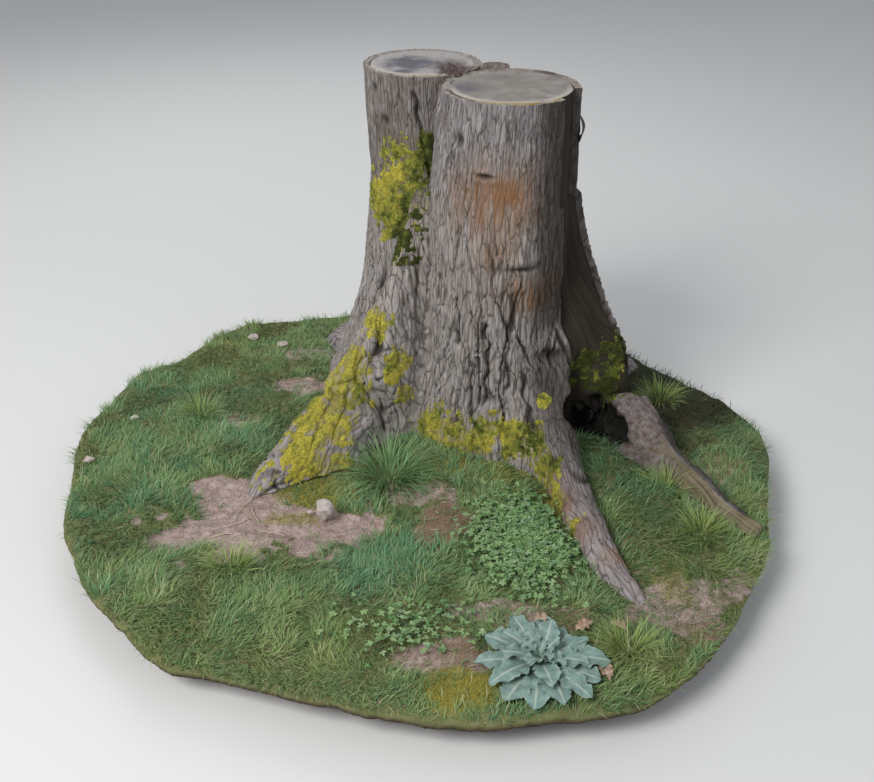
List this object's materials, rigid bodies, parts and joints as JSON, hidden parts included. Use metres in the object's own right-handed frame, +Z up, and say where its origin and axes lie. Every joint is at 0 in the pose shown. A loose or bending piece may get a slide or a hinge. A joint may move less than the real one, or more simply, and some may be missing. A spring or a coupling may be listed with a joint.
{
  "type": "tree stump",
  "caption": "Twin-stemmed sawn tree stump with bark, spreading roots and moss, standing on a cut-out disc of turf with grass, stones and a low leafy plant.",
  "frame": {"origin": "middle of the flat underside of the soil bed", "axes": "+Z up out of the ground, -Y towards the front, where both sawn faces, the front root and the leafy plant are seen, +X to the right seen from the front"},
  "size_m": [1.8904, 1.8036, 1.04],
  "materials": {
    "soil": "dry crumbly earth",
    "turf": "short grass over moss and thatch",
    "weathered_wood": "bare, silvered, fine vertical grain",
    "sawn_wood": "saw-cut end grain, weathered, with heart stain",
    "bark": "deep vertical furrows, grey, rust stains",
    "root_bark": "grey-lilac, wrinkled along the root",
    "root_wood": "bare tan wood, bark worn away",
    "moss": "soft yellow-green cushions",
    "rosette_leaf": "blue-green leaf with a pale midrib",
    "grass": "thin blades",
    "clover": "small round leaflets",
    "stone": "matt, pale pinkish grey",
    "dead_leaf": "curled, papery",
    "straw": "dry stalk"
  },
  "bodies": {
    "root": {"soil_bed": "soil", "turf_left": "turf", "turf_front_left": "turf", "turf_front": "turf", "turf_right": "turf", "turf_back": "turf", "turf_back_right": "turf", "trunk_wood": "weathered_wood", "left_stem_wood": "sawn_wood", "right_stem_wood": "sawn_wood", "trunk_bark": "bark", "left_stem_bark": "bark", "right_stem_bark": "bark", "bark_flap": "bark", "fork_knob": "bark", "left_root": "root_bark", "front_root": "root_bark", "right_root_bark": "root_bark", "back_left_root": "root_bark", "back_right_root": "root_bark", "right_root": "root_wood", "flank_moss": "moss", "left_root_moss": "moss", "foot_moss": "moss", "hollow_moss": "moss", "rosette_leaves": "rosette_leaf", "rosette_crown": "rosette_leaf", "tussock": "grass", "grass_tufts": "grass", "clover_patch": "clover", "large_stone": "stone", "small_stones": "stone", "dry_leaves": "dead_leaf", "straw": "straw"}
  },
  "joints": []
}
